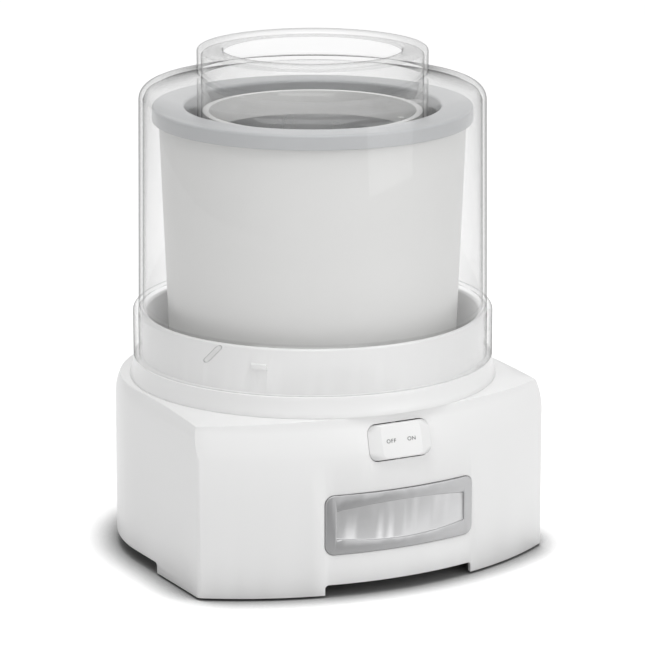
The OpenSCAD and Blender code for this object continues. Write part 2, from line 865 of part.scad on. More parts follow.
// wheel and pinion of one compound gear, in one piece
module compound_gear(m_wheel, n_wheel, m_pinion, n_pinion, long, wheel_turn, pinion_turn) {
    difference() {
        union() {
            linear_extrude(wheel_h) rotate(wheel_turn) spur_outline(m_wheel, n_wheel);
            translate([0, 0, wheel_h - eps])
                linear_extrude(long + eps) rotate(pinion_turn) spur_outline(m_pinion, n_pinion);
        }
        translate([0, 0, -1]) cylinder(r = axle_r + run, h = far);
    }
}

// where a line meets a wheel, counted in teeth from tooth 0
function facing(teeth, line, turn) = (line - turn) / (360 / teeth);

// a tooth gap of the follower faces the tooth phase of the wheel it meets
function follower_turn(from_turn, from_teeth, line, to_teeth) =
    let (phase = facing(from_teeth, line, from_turn))
    line + 180 + (phase + 0.5) * 360 / to_teeth;

last_turn = follower_turn(0, drive_teeth, second_turn, last_pinion_teeth);
second_wheel_turn = 0;
first_pinion_turn = follower_turn(second_wheel_turn, wheel_teeth, first_turn, pinion_teeth);
first_wheel_turn = 0;
motor_turn = follower_turn(first_wheel_turn, wheel_teeth, 0, pinion_teeth);

module second_gear() {
    color("ivory")
        translate([second_at[0], second_at[1], second_z])
            compound_gear(small_module, wheel_teeth, big_module, last_pinion_teeth,
                last_z + drive_h + 1.5 - second_z - wheel_h, second_wheel_turn, last_turn);
}

module first_gear() {
    color("ivory")
        translate([first_at[0], first_at[1], first_z])
            compound_gear(small_module, wheel_teeth, small_module, pinion_teeth,
                second_z + 6 - first_z - wheel_h, first_wheel_turn, first_pinion_turn);
}

// ---------- drive hub ----------

hub_r = 30;
hub_z = floor_z + 1.4;
hub_top = bowl_z - 0.4;
dog_h = 4;
dog_at = 20;

module drive_dogs(gap, h) {
    for (a = [90 : 120 : 330])
        rotate([0, 0, a])
            translate([dog_at, 0, h / 2]) cube([12 + 2 * gap, 6 + 2 * gap, h], center = true);
}

module drive_hub() {
    color("whitesmoke") difference() {
        union() {
            translate([0, 0, hub_z])
                rotate_extrude()
                    polygon([[0, 0], [hub_r - 1, 0], [hub_r, 1], [hub_r, hub_top - hub_z - 0.8],
                        [hub_r - 0.8, hub_top - hub_z], [0, hub_top - hub_z]]);
            translate([0, 0, hub_top - eps]) drive_dogs(0, dog_h);
        }
        translate([-4.55, -4.55, hub_z - 1]) cube([9.1, 9.1, 3.3]);
        translate([0, 0, hub_z]) cylinder(r = 2.1, h = far);
        translate([0, 0, hub_top - 1.6]) cylinder(r = 4.2, h = far);
    }
}

module hub_screw() {
    color("silver") translate([0, 0, hub_top - 1.6])
        mirror([0, 0, 1]) screw(4, 1.5, 1.9, 9);
}

// ---------- motor ----------

module at_motor(z) {
    translate([motor_at[0], motor_at[1], z]) children();
}

module coil_rooms(gap) {
    for (a = [0 : 90 : 270])
        rotate(a) translate([rotor_r + 5.2, 0]) square([7 - 2 * gap, 14 - 2 * gap], center = true);
}

module bolt_holes(r) {
    for (x = [-1, 1], y = [-1, 1])
        translate([x * motor_bolt_at, y * motor_bolt_at]) circle(r);
}

module motor_stator() {
    color("slategray") at_motor(stator_z)
        linear_extrude(stator_h) difference() {
            round_rect(stator_w, stator_w, 6);
            circle(rotor_r + 0.4);
            coil_rooms(0);
            bolt_holes(motor_bolt_r + 0.2);
        }
}

module motor_coils() {
    over = coil_over - 0.3;
    color("chocolate") at_motor(stator_z) {
        translate([0, 0, -over]) linear_extrude(stator_h + 2 * over) coil_rooms(0.3);
        for (z = [-over, stator_h + 0.3])
            translate([0, 0, z]) tube(rotor_r + 8.2, rotor_r + 2, over - 0.3);
    }
}

module bracket(boss_z) {
    difference() {
        union() {
            linear_extrude(bracket_t) difference() {
                round_rect(stator_w, stator_w, 6);
                for (a = [0 : 90 : 270])
                    rotate(a) translate([16, 0]) round_rect(9, 22, 4);
            }
            translate([0, 0, boss_z]) cylinder(r = shaft_r + 6, h = 5);
        }
        translate([0, 0, -6]) cylinder(r = shaft_r + 3 + fit, h = 20);
        translate([0, 0, -1]) linear_extrude(bracket_t + 2) bolt_holes(motor_bolt_r + 0.2);
    }
}

module upper_motor_bracket() {
    color("silver") at_motor(upper_bracket_z) bracket(0);
}

module lower_motor_bracket() {
    color("silver") at_motor(lower_bracket_z) {
        bracket(-1);
        // posts up to the stator
        linear_extrude(stator_z - lower_bracket_z) difference() {
            bolt_holes(4);
            bolt_holes(motor_bolt_r + 0.2);
        }
    }
}

module motor_bearings() {
    color("peru") {
        at_motor(upper_bracket_z - 0.2) tube(shaft_r + 3, shaft_r + fit, 5.4);
        at_motor(lower_bracket_z - 1.2) tube(shaft_r + 3, shaft_r + fit, 5.4);
    }
}

module motor_screws() {
    color("silver") at_motor(lower_bracket_z)
        for (x = [-1, 1], y = [-1, 1])
            translate([x * motor_bolt_at, y * motor_bolt_at, 0])
                screw(3.4, 2, motor_bolt_r, tray_top - 2 - lower_bracket_z);
}

module motor_rotor() {
    color("lightgray") at_motor(stator_z - 1) difference() {
        cylinder(r = rotor_r, h = stator_h + 2);
        translate([0, 0, -1]) cylinder(r = shaft_r + 0.02, h = far);
        for (a = [0 : 30 : 330])
            rotate([0, 0, a])
                translate([rotor_r - 2.6, 0, -1]) cylinder(r = 1, h = far);
    }
}

module motor_shaft() {
    color("silver") at_motor(fan_z + 1) cylinder(r = shaft_r, h = first_z + 5.8 - fan_z - 1);
}

module motor_pinion() {
    color("ivory") at_motor(first_z - 0.4)
        linear_extrude(wheel_h + 0.9) difference() {
            rotate(motor_turn) spur_outline(small_module, pinion_teeth);
            circle(shaft_r + 0.02);
        }
}

module cooling_fan() {
    color("black") at_motor(fan_z) difference() {
        union() {
            cylinder(r = fan_r, h = 1.2);
            cylinder(r = shaft_r + 3, h = fan_h);
            for (a = [0 : 40 : 320])
                rotate([0, 0, a])
                    translate([shaft_r + 2, -0.6, 0]) cube([fan_r - shaft_r - 3, 1.2, fan_h]);
        }
        translate([0, 0, -1]) cylinder(r = shaft_r + 0.02, h = far);
    }
}

// ---------- bowl ----------

// radius of the outer shell at a height over the bowl's foot
function shell_r(z) = shell_foot_r + (shell_top_r - shell_foot_r) * z / (bowl_h - 3);
// inner radius of the liner at a height over its floor
function liner_r(z) = liner_foot_r + (liner_top_r - liner_foot_r) * z / (bowl_h - liner_floor - 3);

// inner line of the liner, moved out by t, from the axis up to its flange
function liner_line(t) = let (round_r = liner_round + t) concat(
    [[0, liner_z - t]],
    [for (a = [-90 : 15 : 0])
        [liner_foot_r - liner_round + round_r * cos(a), liner_z + liner_round + round_r * sin(a)]],
    [[liner_top_r + t, rim_z - 3]]
);

module bowl_shell() {
    lip = 2;
    color("white") rotate_extrude()
        polygon([
            [shell_foot_r - 11, bowl_z], [shell_foot_r - 2, bowl_z], [shell_foot_r, bowl_z + 2],
            [shell_r(bowl_h - 3), rim_z - 3], [shell_r(bowl_h - 3) - shell_t, rim_z - 3],
            [shell_r(lip) - shell_t, bowl_z + lip], [shell_foot_r - 11, bowl_z + lip]
        ]);
}

module bowl_liner() {
    inner = liner_line(0);
    outer = liner_line(liner_t);
    color("silver") rotate_extrude()
        polygon(concat(
            inner,
            [[liner_top_r + 9, rim_z - 3], [liner_top_r + 9, rim_z - 3 - liner_t],
                [liner_top_r + liner_t, rim_z - 3 - liner_t]],
            [for (i = [len(outer) - 2 : -1 : 0]) outer[i]]
        ));
}

module bowl_rim() {
    under = rim_z - 2.7;
    color("silver") rotate_extrude()
        polygon([
            [rim_r, rim_z - rim_h], [rim_r, rim_z - 1.6], [rim_r - 0.5, rim_z - 0.5], [rim_r - 1.6, rim_z],
            [rim_inner_r + 1.5, rim_z], [rim_inner_r + 0.4, rim_z - 0.5], [rim_inner_r, rim_z - 1.6],
            [rim_inner_r, rim_z - 7], [rim_inner_r + rim_skin, rim_z - 7], [rim_inner_r + rim_skin, under],
            [rim_r - rim_skin, under], [rim_r - rim_skin, rim_z - rim_h]
        ]);
}

module bowl_base() {
    disc_r = shell_foot_r - shell_t - 0.4;
    color("whitesmoke") difference() {
        union() {
            translate([0, 0, bowl_z + 2]) cylinder(r = disc_r, h = 3);
            translate([0, 0, bowl_z]) cylinder(r = hub_r + 2, h = 3);
        }
        translate([0, 0, bowl_z - 1]) drive_dogs(0.4, dog_h + 1.1);
    }
}

module freezing_gel() {
    gap = 0.3;
    low = bowl_z + 5 + gap;
    high = rim_z - 18;
    line = liner_line(liner_t + gap);
    keep = [for (i = [0 : len(line) - 2]) line[i]];
    color("lightblue") rotate_extrude()
        polygon(concat(
            [[0, low], [shell_r(5) - shell_t - 1, low], [shell_r(high - bowl_z) - shell_t - 0.6, high],
                [liner_r(high - liner_z) + liner_t + 0.6, high]],
            [for (i = [len(keep) - 1 : -1 : 0]) keep[i]]
        ));
}

module bowl_seal() {
    inner = liner_top_r + 9.3;
    color("dimgray") translate([0, 0, rim_z - 3 - liner_t])
        tube(shell_top_r - shell_t - 0.2, inner - 0.3, liner_t);
}

// ---------- paddle ----------

paddle_t = 3.6;
key_w = 11;
paddle_ring_r = spout_r - lid_wall - 0.7;
paddle_low = liner_z + 1.2;
paddle_top = skirt_low + 5.5;
blade_gap = 1.6;

// half outline of the blade, right of the axis
module blade_outline() {
    foot = liner_foot_r - blade_gap;
    top = liner_r(skirt_low - 4 - liner_z) - blade_gap - 2.2;
    difference() {
        union() {
            polygon([[0, paddle_low], [foot - liner_round, paddle_low], [foot, paddle_low + liner_round],
                [top, skirt_low - 4], [0, skirt_low - 4]]);
            translate([foot - liner_round, paddle_low + liner_round]) circle(liner_round);
        }
        // windows that the mix folds through
        translate([0, paddle_low + 13]) {
            translate([7, 0]) square([foot - 7 - 13, 34]);
            translate([7, 42]) square([foot - 7 - 12, 34]);
            translate([0, 84]) square([foot - 11, far]);
        }
        translate([-far, 0]) square([far, far]);
    }
}

module mixing_paddle() {
    arm_x = liner_r(skirt_low - liner_z - 4) - blade_gap - 2.2;
    color("white") {
        for (side = [0, 1])
            rotate([0, 0, side * 180])
                translate([0, paddle_t / 2, 0]) rotate([90, 0, 0]) {
                    linear_extrude(paddle_t) blade_outline();
                }
        // ring that stands in the lid's inner skirt, with two keys for its notches
        translate([0, 0, skirt_low - 8]) difference() {
            cylinder(r = paddle_ring_r, h = paddle_top - skirt_low + 8);
            translate([0, 0, -1]) cylinder(r = paddle_ring_r - 3.5, h = 40);
        }
        for (side = [0, 1])
            rotate([0, 0, side * 180])
                translate([paddle_ring_r - 1.5, -key_w / 2 + 0.5, skirt_low - 8])
                    cube([arm_x - paddle_ring_r + 1.5, key_w - 1, 12.5]);
        // ploughs that lift the frozen layer off the wall
        for (side = [0, 1])
            rotate([0, 0, side * 180])
                for (z = [paddle_low + 20, paddle_low + 62])
                    translate([liner_foot_r - 17, -5.5, z])
                        cube([12, 11, 3]);
    }
}

// ---------- lid ----------

module lid_profile() {
    ring_in = ring_r - ring_wall;
    corner_z = plate_lid_z - 5.7;
    lip = 1.5;
    polygon(concat(
        [[ring_in, lid_z], [ring_r - 0.5, lid_z], [ring_r, lid_z + 0.5], [ring_r, ring_top - 3.2]],
        [for (a = [15 : 15 : 90]) [lid_r + (ring_r - lid_r) * cos(a), ring_top - 3.2 + 3.2 * sin(a)]],
        [for (a = [0 : 15 : 90])
            [lid_top_r - 7.7 + 7.7 * cos(a), corner_z - 7.7 + 7.7 * sin(a)]],
        [[spout_r + 3, plate_lid_z - 0.9], [spout_r + 0.9, plate_lid_z], [spout_r, plate_lid_z + 1.4]],
        [for (a = [0 : 30 : 90]) [spout_r - lip + lip * cos(a), spout_top - lip + lip * sin(a)]],
        [for (a = [90 : 30 : 180]) [mouth_r + lip + lip * cos(a), spout_top - lip + lip * sin(a)]],
        [[mouth_r, spout_top - 3], [spout_r - lid_wall - 1, spout_top - 3],
            [spout_r - lid_wall, spout_top - 4], [spout_r - lid_wall, skirt_low],
            [spout_r, skirt_low], [spout_r, plate_lid_z - lid_wall - 1]],
        [[lid_top_r - 8.2, corner_z - lid_wall],
            [lid_top_r - lid_wall - 1.6, corner_z - lid_wall - 2.2],
            [lid_top_r - lid_wall, corner_z - 8]],
        [[lid_r - lid_wall, ring_top + 1], [lid_r - lid_wall, ring_top - 1], [ring_in, ring_top - 2.4]]
    ));
}

// oblique ribs inside the ring, which turn under the collar's lugs
module lock_ribs() {
    intersection() {
        tube_at(collar_r + 0.6, ring_r - 1, lid_z + 5, 22);
        for (i = [0 : lock_n - 1])
            rotate([0, 0, i * 360 / lock_n - 61.6 - 90])
                translate([collar_r - 2, 0, lid_z + 19.4])
                    rotate([90, 0, 90])
                        linear_extrude(10)
                            rotate(45) {
                                square([11, 2.6], center = true);
                                for (x = [-5.5, 5.5]) translate([x, 0]) circle(1.3, $fn = 32);
                            }
    }
}

module lid() {
    color([0.85, 0.9, 0.95, 0.4]) difference() {
        union() {
            rotate_extrude() lid_profile();
            lock_ribs();
        }
        // notches in the skirt that keep the paddle from turning
        for (side = [0, 1])
            rotate([0, 0, side * 180])
                translate([spout_r - 6, -key_w / 2, skirt_low - 1]) cube([10, key_w, 6.5]);
    }
}

base_housing();
bowl_well();
base_plate();
rubber_feet();
case_screws();
badge_plate();
switch_body();
switch_terminals();
cord_gland();
internal_wires();
gearbox_housing();
gearbox_cover();
gearbox_screws();
gear_axles();
lower_bush();
hub_bush();
motor_stator();
motor_coils();
upper_motor_bracket();
lower_motor_bracket();
motor_bearings();
motor_screws();
drive_gear();
drive_hub();
hub_screw();
second_gear();
first_gear();
motor_rotor();
motor_shaft();
motor_pinion();
cooling_fan();
bowl_shell();
bowl_liner();
bowl_rim();
bowl_base();
freezing_gel();
bowl_seal();
mixing_paddle();
lid();
switch_rocker();
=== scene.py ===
import json
from math import cos, pi, radians, sin, sqrt

import bmesh
import bpy
from mathutils import Matrix, Vector

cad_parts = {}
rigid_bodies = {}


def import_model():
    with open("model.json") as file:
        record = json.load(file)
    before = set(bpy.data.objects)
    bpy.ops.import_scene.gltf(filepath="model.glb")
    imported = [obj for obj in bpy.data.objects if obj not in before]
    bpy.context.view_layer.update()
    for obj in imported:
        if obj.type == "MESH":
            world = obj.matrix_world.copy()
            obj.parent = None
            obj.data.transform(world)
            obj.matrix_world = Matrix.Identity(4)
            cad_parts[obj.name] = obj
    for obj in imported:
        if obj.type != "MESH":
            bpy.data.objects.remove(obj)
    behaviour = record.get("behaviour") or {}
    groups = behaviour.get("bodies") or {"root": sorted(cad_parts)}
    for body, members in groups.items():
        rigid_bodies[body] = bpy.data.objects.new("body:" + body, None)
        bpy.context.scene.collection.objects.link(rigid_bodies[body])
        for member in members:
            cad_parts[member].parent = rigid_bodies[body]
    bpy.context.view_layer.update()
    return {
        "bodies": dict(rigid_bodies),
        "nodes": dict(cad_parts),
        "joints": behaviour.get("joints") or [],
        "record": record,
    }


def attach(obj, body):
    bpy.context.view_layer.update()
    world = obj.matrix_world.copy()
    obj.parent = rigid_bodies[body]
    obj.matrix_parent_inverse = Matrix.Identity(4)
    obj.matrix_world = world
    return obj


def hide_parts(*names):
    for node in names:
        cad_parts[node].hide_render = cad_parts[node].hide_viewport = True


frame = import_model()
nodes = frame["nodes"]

# ---------- Camera ----------
# A long lens stands off the left front corner, a little above the object, so that the upright
# walls of the base stay upright. It is a stage matter, not a piece of the object.
camera = bpy.data.cameras.new("camera")
camera.lens = 222.6
camera.sensor_width = 36
camera.clip_end = 60
camera_stand = bpy.data.objects.new("camera", camera)
camera_stand.location = (-1.029, -1.935, 0.678)
camera_stand.rotation_euler = (radians(90 - 14.09), 0, radians(-28.148))
bpy.context.scene.collection.objects.link(camera_stand)
bpy.context.scene.camera = camera_stand

# ---------- Studio ----------
# A white paper floor and a white surround, which a camera, metal and clear plastic see as white.
# The floor's colour and its glow are darkened close to what stands on it, a painted contact shadow.
# Gloss also sees a grey patch painted on the floor before the badge, a painted dark reflection that the
# camera doesn't see. The light is plain: a soft box on the right, one overhead and an even surround.


class Number:
    """An output socket. A sum written with it adds its Math nodes."""

    def __init__(self, bench, socket):
        self.bench = bench
        self.socket = socket

    def sum(self, operation, first, second=0.0):
        return self.bench.node("Math", {"operation": operation}, {0: first, 1: second})["Value"]

    def __add__(self, other):
        return self.sum("ADD", self, other)

    def __radd__(self, other):
        return self.sum("ADD", other, self)

    def __sub__(self, other):
        return self.sum("SUBTRACT", self, other)

    def __rsub__(self, other):
        return self.sum("SUBTRACT", other, self)

    def __mul__(self, other):
        return self.sum("MULTIPLY", self, other)

    def __rmul__(self, other):
        return self.sum("MULTIPLY", other, self)

    def __pow__(self, other):
        return self.sum("POWER", self, other)

    def most(self, other):
        return self.sum("MAXIMUM", self, other)

    def least(self, other):
        return self.sum("MINIMUM", self, other)


class Made:
    """A node that has been made: its outputs by name, or by number where names repeat."""

    def __init__(self, bench, node):
        self.bench = bench
        self.outputs = node.outputs

    def __getitem__(self, output):
        return Number(self.bench, self.outputs[output])


class Bench:
    """A node tree that nodes are added to. node() sets a node's settings first, then its sockets."""

    def __init__(self, tree):
        self.tree = tree
        tree.nodes.clear()

    def node(self, kind, settings=None, sockets=None):
        made = self.tree.nodes.new("ShaderNode" + kind)
        for key, value in (settings or {}).items():
            if key == "stops":
                ramp = made.color_ramp
                while len(ramp.elements) < len(value):
                    ramp.elements.new(0.5)
                for element, (place, grey) in zip(ramp.elements, value):
                    element.position = place
                    element.color = (grey, grey, grey, 1)
            else:
                setattr(made, key, value)
        for key, value in (sockets or {}).items():
            if isinstance(value, Number):
                self.tree.links.new(value.socket, made.inputs[key])
            else:
                made.inputs[key].default_value = value
        return Made(self, made)

    def colour_mix(self, factor, first, second):
        return self.node("Mix", {"data_type": "RGBA"}, {0: factor, 6: first, 7: second})[2]


def new_material(name):
    material = bpy.data.materials.new(name)
    material.use_nodes = True
    return material, Bench(material.node_tree)


floor_reach = 14.0
floor_glow = 0.4
shadow_reach = 0.03
# Where and how wide a grey patch is painted on the floor for glossy rays: a painted dark reflection.
painted_reflection_at = (-0.1, -0.33, 0.0)
painted_reflection_edge = 0.3
painted_reflection_core = 0.12
paper, bench = new_material("studio paper")
rays = bench.node("LightPath")
seen_white = rays["Is Camera Ray"].most(rays["Is Glossy Ray"]).most(rays["Is Transmission Ray"])
place = bench.node("TexCoord")["Object"]
fibre = bench.node("TexNoise", {}, {"Vector": place, "Scale": 30.0, "Detail": 2.0})["Fac"]
paper_colour = bench.colour_mix(fibre, (0.93, 0.93, 0.93, 1), (0.95, 0.95, 0.95, 1))
# Ambient occlusion darkens the floor's colour and its camera glow near what stands on it: a painted
# contact shadow.
near = bench.node("AmbientOcclusion", {"samples": 12}, {"Distance": shadow_reach})["AO"]
clear_of_painted_shadow = bench.node("MapRange", {}, {"Value": near, "From Min": 0.5, "From Max": 0.92})["Result"]
paper_with_painted_shadow = bench.colour_mix(clear_of_painted_shadow, (0.27, 0.27, 0.27, 1), paper_colour)
diffuse = bench.node("BsdfDiffuse", {}, {"Color": paper_with_painted_shadow})["BSDF"]
strength = seen_white * clear_of_painted_shadow * floor_glow
glow = bench.node("Emission", {}, {"Color": (1, 1, 1, 1), "Strength": strength})["Emission"]
lit = bench.node("AddShader", {}, {0: diffuse, 1: glow})["Shader"]
# A grey patch painted into the floor, seen only by glossy rays: a painted dark reflection, with no card
# standing there.
from_painted_reflection = bench.node("VectorMath", {"operation": "DISTANCE"}, {0: place, 1: painted_reflection_at})["Value"]
painted_reflection_mask = bench.node(
    "MapRange",
    {"interpolation_type": "SMOOTHSTEP"},
    {"Value": from_painted_reflection, "From Min": painted_reflection_edge, "From Max": painted_reflection_core},
)["Result"]
painted_reflection_grey = bench.node("BsdfDiffuse", {}, {"Color": (0.42, 0.42, 0.42, 1)})["BSDF"]
with_painted_reflection = bench.node("MixShader", {}, {0: rays["Is Glossy Ray"] * painted_reflection_mask, 1: lit, 2: painted_reflection_grey})["Shader"]
bench.node("OutputMaterial", {}, {"Surface": with_painted_reflection})

floor_mesh = bpy.data.meshes.new("studio_floor")
floor_mesh.from_pydata(
    [(x * floor_reach, y * floor_reach, 0.0) for x, y in ((-1, -1), (1, -1), (1, 1), (-1, 1))],
    [],
    [(0, 1, 2, 3)],
)
floor_mesh.materials.append(paper)
floor = bpy.data.objects.new("studio_floor", floor_mesh)
bpy.context.scene.collection.objects.link(floor)

world = bpy.data.worlds.new("studio")
bpy.context.scene.world = world
world.use_nodes = True
bench = Bench(world.node_tree)
rays = bench.node("LightPath")
seen = rays["Is Camera Ray"]
mirrored = rays["Is Glossy Ray"].most(rays["Is Transmission Ray"])
direction = bench.node("TexCoord")["Generated"]
flag_side = (-0.8829, 0.4695, 0.0)
left = bench.node("VectorMath", {"operation": "DOT_PRODUCT"}, {0: direction, 1: flag_side})["Value"]
flag = bench.node(
    "MapRange", {"interpolation_type": "SMOOTHSTEP"}, {"Value": left, "From Min": 0.2, "From Max": 0.95}
)["Result"]
around = 0.57
level = seen.most(mirrored * (1 - flag * 0.45)).most(around * (1 - flag * 0.35))
surround = bench.node("Background", {}, {"Color": (1, 1, 1, 1), "Strength": level})["Background"]
bench.node("OutputWorld", {}, {"Surface": surround})


def soft_box(name, at, aim, width, height, power):
    lamp = bpy.data.lights.new(name, "AREA")
    lamp.shape = "RECTANGLE"
    lamp.size = width
    lamp.size_y = height
    lamp.energy = power
    stand = bpy.data.objects.new(name, lamp)
    stand.location = at
    stand.rotation_euler = (Vector(aim) - Vector(at)).to_track_quat("-Z", "Y").to_euler()
    bpy.context.scene.collection.objects.link(stand)


soft_box("key soft box", (1.0, -2.15, 1.1), (0, 0, 0.12), 1.5, 1.5, 9.5)
soft_box("top soft box", (-0.45, -0.6, 2.35), (0, 0, 0.1), 1.8, 1.8, 25)

bpy.context.scene.view_settings.view_transform = "Standard"

# ---------- Base housing and well ----------
# Two gloss-white ABS mouldings. The housing has a bowed front and soft side shoulders, and the
# round well with the collar for the lid seats on its deck. Small radii run along their edges.


def plastic(name, colour, roughness, grain=0.00002, clouds=0.005, coat=0.0):
    """A moulded plastic: slight flow clouds in the colour, and a fine tool texture in the gloss."""
    material, bench = new_material(name)
    place = bench.node("TexCoord")["Object"]
    flow = bench.node("TexNoise", {}, {"Vector": place, "Scale": 14.0, "Detail": 3.0})["Fac"]
    fine = bench.node("TexNoise", {}, {"Vector": place, "Scale": 900.0, "Detail": 2.0})["Fac"]
    dark = tuple(c * (1 - clouds) for c in colour) + (1,)
    tone = bench.colour_mix(flow, dark, tuple(colour) + (1,))
    bump = bench.node("Bump", {}, {"Height": fine, "Strength": 0.35, "Distance": grain})["Normal"]
    shader = bench.node(
        "BsdfPrincipled",
        {},
        {
            "Base Color": tone,
            "Roughness": (flow - 0.5) * 0.03 + roughness,
            "Normal": bump,
            "IOR": 1.5,
            "Coat Weight": coat,
            "Coat Roughness": 0.08,
        },
    )["BSDF"]
    bench.node("OutputMaterial", {}, {"Surface": shader})
    return material


def shade_evenly():
    """Modifier that joins the loose faces of a CAD node and shades its round faces smooth."""
    tree = bpy.data.node_groups.new("even shading", "GeometryNodeTree")
    tree.interface.new_socket("Geometry", in_out="INPUT", socket_type="NodeSocketGeometry")
    angle = tree.interface.new_socket("Edge Angle", in_out="INPUT", socket_type="NodeSocketFloat")
    angle.default_value = radians(28)
    tree.interface.new_socket("Geometry", in_out="OUTPUT", socket_type="NodeSocketGeometry")
    start = tree.nodes.new("NodeGroupInput")
    end = tree.nodes.new("NodeGroupOutput")
    merge = tree.nodes.new("GeometryNodeMergeByDistance")
    merge.inputs["Distance"].default_value = 0.000002
    smooth = tree.nodes.new("GeometryNodeSetShadeSmooth")
    smooth.domain = "FACE"
    corner = tree.nodes.new("GeometryNodeInputMeshEdgeAngle")
    sharp = tree.nodes.new("FunctionNodeCompare")
    sharp.data_type = "FLOAT"
    sharp.operation = "GREATER_THAN"
    crisp = tree.nodes.new("GeometryNodeSetShadeSmooth")
    crisp.domain = "EDGE"
    crisp.inputs["Shade Smooth"].default_value = False
    link = tree.links.new
    link(start.outputs["Geometry"], merge.inputs["Geometry"])
    link(merge.outputs["Geometry"], smooth.inputs["Geometry"])
    link(smooth.outputs["Geometry"], crisp.inputs["Geometry"])
    link(corner.outputs["Unsigned Angle"], sharp.inputs[0])
    link(start.outputs["Edge Angle"], sharp.inputs[1])
    link(sharp.outputs["Result"], crisp.inputs["Selection"])
    link(crisp.outputs["Geometry"], end.inputs["Geometry"])
    return tree


even_shading = shade_evenly()


def finish_node(material, *names):
    """Gives CAD nodes their real finish, and shades their round faces smooth."""
    for name in names:
        piece = nodes[name]
        piece.data.materials.clear()
        piece.data.materials.append(material)
        modifier = piece.modifiers.new("even shading", "NODES")
        modifier.node_group = even_shading


def softened(node, name, body, material, edge, steps=2, angle=24.0):
    """A copy of a CAD node with its edges rounded off, standing for the node."""
    mesh = nodes[node].data.copy()
    mesh.name = name
    mesh.materials.clear()
    mesh.materials.append(material)
    work = bmesh.new()
    work.from_mesh(mesh)
    bmesh.ops.remove_doubles(work, verts=work.verts, dist=0.000004)
    bmesh.ops.dissolve_limit(
        work, angle_limit=radians(0.6), verts=work.verts, edges=work.edges, use_dissolve_boundaries=False
    )
    for face in work.faces:
        face.smooth = True
    work.to_mesh(mesh)
    work.free()
    piece = bpy.data.objects.new(name, mesh)
    bpy.context.scene.collection.objects.link(piece)
    bevel = piece.modifiers.new("rounded edges", "BEVEL")
    bevel.width = edge
    bevel.segments = steps
    bevel.limit_method = "ANGLE"
    bevel.angle_limit = radians(angle)
    bevel.miter_outer = "MITER_ARC"
    bevel.use_clamp_overlap = True
    bevel.harden_normals = True
    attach(piece, body)
    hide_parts(node)
    return piece


white_gloss = plastic("white gloss ABS", (0.86, 0.86, 0.858), 0.28, grain=0.0000003)
softened("base_housing", "base_housing_moulding", "base", white_gloss, 0.0006)
softened("bowl_well", "bowl_well_moulding", "base", white_gloss, 0.0006)

# ---------- Under the base ----------
# A satin base plate closes the housing from below. Four screws, sunk in its bosses, hold it,
# and a rubber foot is pushed into each boss over the screw's head.
white_satin = plastic("white satin ABS", (0.8, 0.8, 0.79), 0.42, grain=0.00003)
finish_node(white_satin, "base_plate")

rubber = plastic("black rubber", (0.03, 0.03, 0.032), 0.7, grain=0.00006, clouds=0.2)
finish_node(rubber, "rubber_feet", "bowl_seal")


def metal(name, colour, roughness, along=(1.0, 1.0, 1.0), wear=0.12, shade=None):
    """A bare metal: drawn or turned marks, and patches where handling has dulled it."""
    material, bench = new_material(name)
    place = bench.node("TexCoord")["Object"]
    stretched = bench.node("Mapping", {}, {"Vector": place, "Scale": along})["Vector"]
    marks = bench.node("TexNoise", {}, {"Vector": stretched, "Scale": 700.0, "Detail": 3.0})["Fac"]
    patch = bench.node("TexNoise", {}, {"Vector": place, "Scale": 45.0, "Detail": 2.0})["Fac"]
    dull = tuple(c * (1 - wear) for c in colour) + (1,)
    tone = bench.colour_mix(patch, tuple(colour) + (1,), dull)
    if shade:
        tone = shade(bench, place, tone)
    bump = bench.node("Bump", {}, {"Height": marks, "Strength": 0.3, "Distance": 0.00001})["Normal"]
    shader = bench.node(
        "BsdfPrincipled",
        {},
        {
            "Base Color": tone,
            "Roughness": (marks - 0.5) * 0.15 + (patch - 0.5) * 0.1 + roughness,
            "Metallic": 1.0,
            "Normal": bump,
        },
    )["BSDF"]
    bench.node("OutputMaterial", {}, {"Surface": shader})
    return material


steel = metal("zinc-plated steel", (0.62, 0.63, 0.64), 0.3)
finish_node(steel, "case_screws", "gearbox_screws", "motor_screws", "hub_screw")
finish_node(steel, "gear_axles", "motor_shaft")

# ---------- Badge ----------
# A bare satin plate, pressed from aluminium and held in its recess by two studs. The middle is
# sunk below the frame, and the frame's edges are rolled over.


bow_centre_y = 0.0835
panel_r = 0.1901
frame_r = 0.1906


def frame_painted_shade(bench, place, tone):
    """The frame stands proud of the panel, further from the bow's centre, and is painted darker: painted
    shade on the frame.
    """
    from_bow = bench.node(
        "Mapping", {}, {"Vector": place, "Location": (0, -bow_centre_y, 0), "Scale": (1, 1, 0)}
    )["Vector"]
    out = bench.node("VectorMath", {"operation": "LENGTH"}, {0: from_bow})["Value"]
    frame = bench.node("MapRange", {}, {"Value": out, "From Min": panel_r, "From Max": frame_r})["Result"]
    return bench.colour_mix(frame, tone, (0.45, 0.45, 0.455, 1))


# The frame's darker colour is painted shade.
badge_silver = metal("satin aluminium", (0.6, 0.6, 0.605), 0.42, (0.06, 1.0, 1.0), 0.06, frame_painted_shade)
softened("badge_plate", "badge_plate_pressing", "base", badge_silver, 0.0004)

